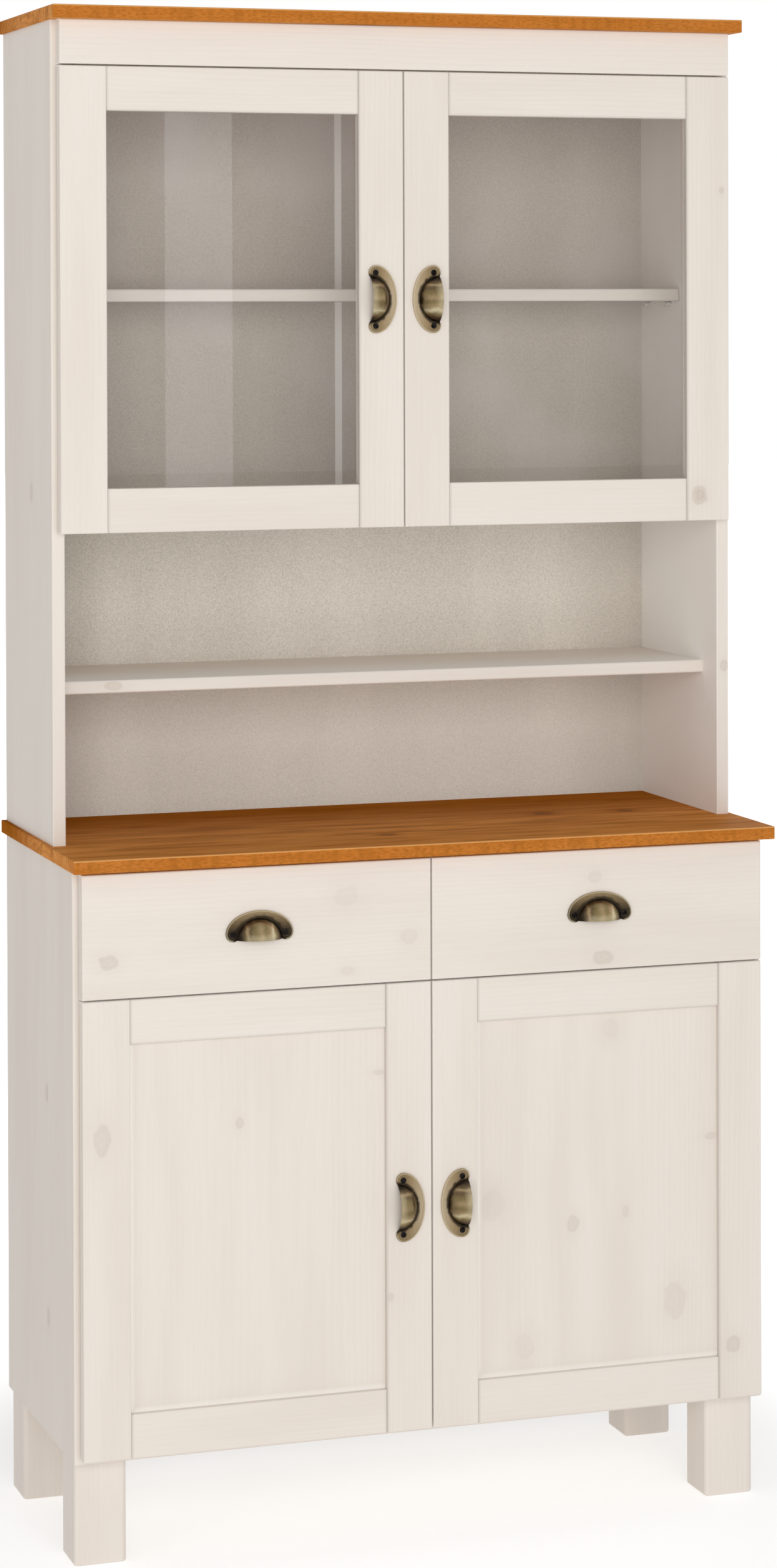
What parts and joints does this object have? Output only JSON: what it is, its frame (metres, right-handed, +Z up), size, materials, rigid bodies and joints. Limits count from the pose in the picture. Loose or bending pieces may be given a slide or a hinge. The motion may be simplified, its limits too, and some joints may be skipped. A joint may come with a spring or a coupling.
{
  "type": "step back cupboard",
  "caption": "Two-stage pine dresser: glazed hutch over an open shelf, stepped back on a base with drawers, panelled doors, cup pulls and square feet.",
  "frame": {"origin": "centre of the bounding box's floor face, between the feet", "axes": "+X to the right seen from the front, +Y to the back, +Z up"},
  "size_m": [0.9, 0.393, 1.865],
  "materials": {
    "painted_pine": "satin off-white paint over pine",
    "oiled_pine": "honey stained and oiled pine",
    "back_board": "painted hardboard",
    "bare_pine": "clear lacquered pine",
    "antique_brass": "brushed antique brass",
    "black_steel": "black screws",
    "plated_steel": "nickel plate",
    "joint_strip": "satin",
    "clear_glass": "clear float glass"
  },
  "bodies": {
    "carcass": {"back_joint_strip": "joint_strip", "base_back": "back_board", "base_bottom": "painted_pine", "base_shelf": "painted_pine", "base_side_left": "painted_pine", "base_side_right": "painted_pine", "drawer_board": "painted_pine", "drawer_divider": "painted_pine", "drawer_runners": "bare_pine", "feet": "painted_pine", "frieze": "painted_pine", "glazed_backs": "back_board", "glazed_shelf": "painted_pine", "hinge_arms": "plated_steel", "hutch_floor": "painted_pine", "hutch_side_left": "painted_pine", "hutch_side_right": "painted_pine", "hutch_top": "oiled_pine", "open_back": "back_board", "open_shelf": "painted_pine", "shelf_pins": "plated_steel", "worktop": "oiled_pine"},
    "hutch_door_left": {"hutch_door_left_beads": "painted_pine", "hutch_door_left_glass": "clear_glass", "hutch_door_left_hinge_cups": "plated_steel", "hutch_door_left_pull": "antique_brass", "hutch_door_left_pull_screws": "black_steel", "hutch_door_left_rails": "painted_pine", "hutch_door_left_stiles": "painted_pine"},
    "hutch_door_right": {"hutch_door_right_beads": "painted_pine", "hutch_door_right_glass": "clear_glass", "hutch_door_right_hinge_cups": "plated_steel", "hutch_door_right_pull": "antique_brass", "hutch_door_right_pull_screws": "black_steel", "hutch_door_right_rails": "painted_pine", "hutch_door_right_stiles": "painted_pine"},
    "base_door_left": {"base_door_left_hinge_cups": "plated_steel", "base_door_left_panel": "painted_pine", "base_door_left_pull": "antique_brass", "base_door_left_pull_screws": "black_steel", "base_door_left_rails": "painted_pine", "base_door_left_stiles": "painted_pine"},
    "base_door_right": {"base_door_right_hinge_cups": "plated_steel", "base_door_right_panel": "painted_pine", "base_door_right_pull": "antique_brass", "base_door_right_pull_screws": "black_steel", "base_door_right_rails": "painted_pine", "base_door_right_stiles": "painted_pine"},
    "drawer_left": {"drawer_left_back": "bare_pine", "drawer_left_bottom": "back_board", "drawer_left_front": "painted_pine", "drawer_left_pull": "antique_brass", "drawer_left_pull_screws": "black_steel", "drawer_left_sides": "bare_pine"},
    "drawer_right": {"drawer_right_back": "bare_pine", "drawer_right_bottom": "back_board", "drawer_right_front": "painted_pine", "drawer_right_pull": "antique_brass", "drawer_right_pull_screws": "black_steel", "drawer_right_sides": "bare_pine"}
  },
  "joints": [
    {"name": "hutch_door_left_hinge", "type": "hinge", "parent": "carcass", "child": "hutch_door_left", "pos_m": [-0.434, -0.067, 1.51075], "axis": [0, 0, -1], "range_deg": [0, 95]},
    {"name": "hutch_door_right_hinge", "type": "hinge", "parent": "carcass", "child": "hutch_door_right", "pos_m": [0.434, -0.067, 1.51075], "axis": [0, 0, 1], "range_deg": [0, 95]},
    {"name": "base_door_left_hinge", "type": "hinge", "parent": "carcass", "child": "base_door_left", "pos_m": [-0.434, -0.1635, 0.407], "axis": [0, 0, -1], "range_deg": [0, 95]},
    {"name": "base_door_right_hinge", "type": "hinge", "parent": "carcass", "child": "base_door_right", "pos_m": [0.434, -0.1635, 0.407], "axis": [0, 0, 1], "range_deg": [0, 95]},
    {"name": "drawer_left_slide", "type": "slide", "parent": "carcass", "child": "drawer_left", "axis": [0, -1, 0], "range_m": [0, 0.24]},
    {"name": "drawer_right_slide", "type": "slide", "parent": "carcass", "child": "drawer_right", "axis": [0, -1, 0], "range_m": [0, 0.24]}
  ]
}
